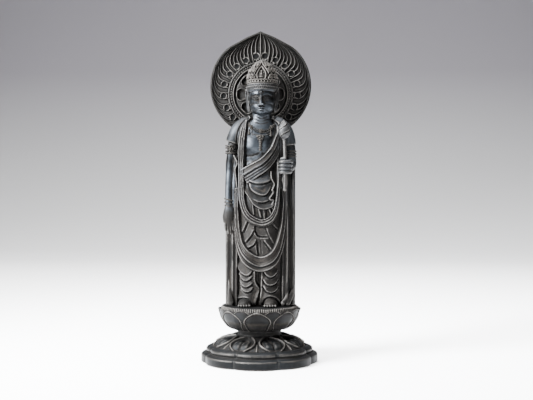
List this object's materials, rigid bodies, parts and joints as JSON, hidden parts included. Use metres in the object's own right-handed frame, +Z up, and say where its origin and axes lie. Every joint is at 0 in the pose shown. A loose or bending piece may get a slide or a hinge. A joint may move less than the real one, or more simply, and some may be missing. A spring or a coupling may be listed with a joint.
{
  "type": "standing kannon statuette",
  "caption": "Standing Kannon in cast bronze with crown, shawl and lotus bud, on a petalled lotus seat and foliate base, with a pointed flame halo.",
  "frame": {"origin": "centre of the base's underside, where the statue stands", "axes": "+Z up along the statue, the figure faces -Y, +X to the viewer's right"},
  "size_m": [0.084, 0.084, 0.241],
  "materials": {
    "bronze": "dark brown-black patinated cast bronze, worn warm grey along raised edges, satin"
  },
  "bodies": {
    "root": {"base": "bronze", "lotus_seat": "bronze", "figure": "bronze", "halo": "bronze"}
  },
  "joints": []
}
